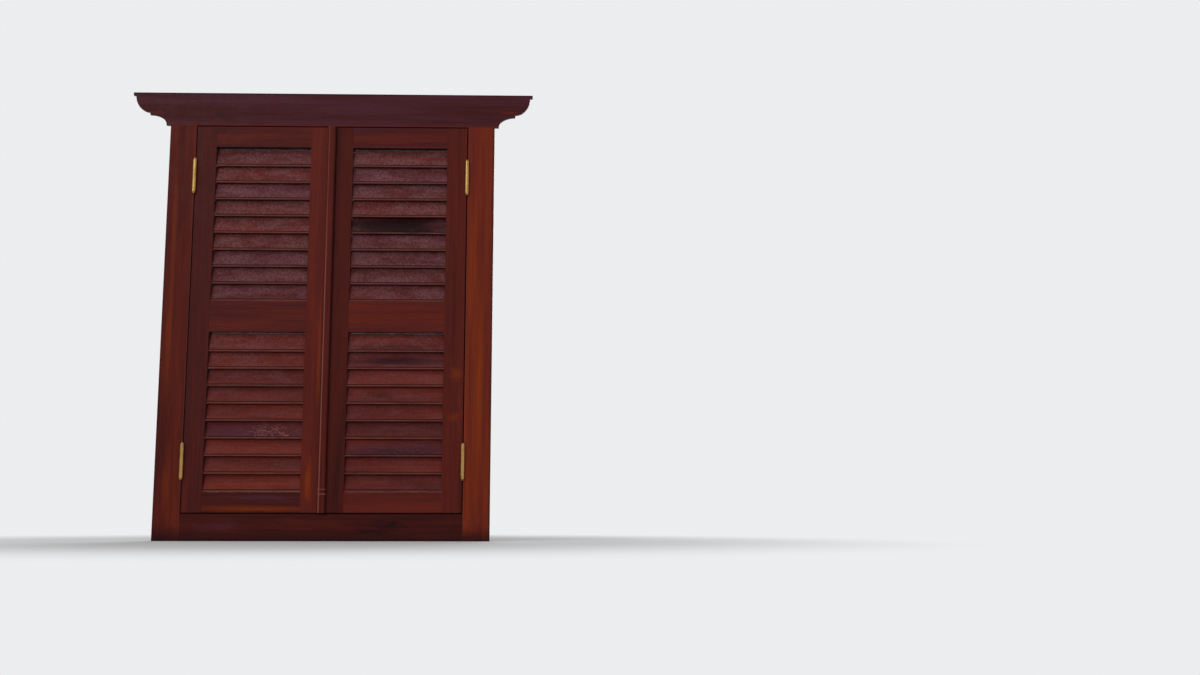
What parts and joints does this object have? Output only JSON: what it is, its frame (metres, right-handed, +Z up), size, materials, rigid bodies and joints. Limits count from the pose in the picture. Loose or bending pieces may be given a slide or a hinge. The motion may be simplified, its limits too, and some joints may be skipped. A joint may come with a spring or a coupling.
{
  "type": "louvred shutters",
  "caption": "Pair of wooden louvred shutters in their own window frame, with an ogee-ended head casing, fixed slanted slats, a cover bead where the leaves meet and lift-off brass hinges.",
  "frame": {"origin": "middle of the frame's underside, in the plane of the wall's face", "axes": "+Z up, +X to the right seen from outside, +Y into the wall; the leaves face -Y"},
  "size_m": [1.235, 0.0745, 1.374],
  "materials": {
    "frame_wood": "stained and varnished hardwood, satin, weathered",
    "leaf_wood": "dark mahogany stain, satin varnish, weathered",
    "slat_wood": "dark mahogany stain with a greyed sheen, satin",
    "bead_wood": "dark mahogany stain, worn bright along the arris",
    "hinge_brass": "polished brass, slightly dulled",
    "pin_steel": "bright steel, greased"
  },
  "bodies": {
    "frame": {"head_casing": "frame_wood", "hinge_pins": "pin_steel", "left_lower_frame_hinge": "hinge_brass", "left_post": "frame_wood", "left_upper_frame_hinge": "hinge_brass", "right_lower_frame_hinge": "hinge_brass", "right_post": "frame_wood", "right_upper_frame_hinge": "hinge_brass", "sill_rail": "frame_wood"},
    "left_leaf": {"left_bottom_rail": "leaf_wood", "left_hinge_stile": "leaf_wood", "left_lower_leaf_hinge": "hinge_brass", "left_lower_slat_1": "slat_wood", "left_lower_slat_2": "slat_wood", "left_lower_slat_3": "slat_wood", "left_lower_slat_4": "slat_wood", "left_lower_slat_5": "slat_wood", "left_lower_slat_6": "slat_wood", "left_lower_slat_7": "slat_wood", "left_lower_slat_8": "slat_wood", "left_lower_slat_9": "slat_wood", "left_meeting_stile": "leaf_wood", "left_mid_rail": "leaf_wood", "left_top_rail": "leaf_wood", "left_upper_leaf_hinge": "hinge_brass", "left_upper_slat_1": "slat_wood", "left_upper_slat_2": "slat_wood", "left_upper_slat_3": "slat_wood", "left_upper_slat_4": "slat_wood", "left_upper_slat_5": "slat_wood", "left_upper_slat_6": "slat_wood", "left_upper_slat_7": "slat_wood", "left_upper_slat_8": "slat_wood", "left_upper_slat_9": "slat_wood", "meeting_bead": "bead_wood"},
    "right_leaf": {"right_bottom_rail": "leaf_wood", "right_hinge_stile": "leaf_wood", "right_lower_leaf_hinge": "hinge_brass", "right_lower_slat_1": "slat_wood", "right_lower_slat_2": "slat_wood", "right_lower_slat_3": "slat_wood", "right_lower_slat_4": "slat_wood", "right_lower_slat_5": "slat_wood", "right_lower_slat_6": "slat_wood", "right_lower_slat_7": "slat_wood", "right_lower_slat_8": "slat_wood", "right_lower_slat_9": "slat_wood", "right_meeting_stile": "leaf_wood", "right_mid_rail": "leaf_wood", "right_top_rail": "leaf_wood", "right_upper_leaf_hinge": "hinge_brass", "right_upper_slat_1": "slat_wood", "right_upper_slat_2": "slat_wood", "right_upper_slat_3": "slat_wood", "right_upper_slat_4": "slat_wood", "right_upper_slat_5": "slat_wood", "right_upper_slat_6": "slat_wood", "right_upper_slat_7": "slat_wood", "right_upper_slat_8": "slat_wood", "right_upper_slat_9": "slat_wood"}
  },
  "joints": [
    {"name": "left_leaf_swing", "type": "hinge", "parent": "frame", "child": "left_leaf", "pos_m": [-0.4175, -0.0165, 0.672], "axis": [0, 0, -1], "range_deg": [0, 180]},
    {"name": "right_leaf_swing", "type": "hinge", "parent": "frame", "child": "right_leaf", "pos_m": [0.4175, -0.0165, 0.672], "axis": [0, 0, 1], "range_deg": [0, 180]}
  ],
  "couplings": [
    {"joint": "right_leaf_swing", "follows": "left_leaf_swing", "ratio": 1}
  ]
}
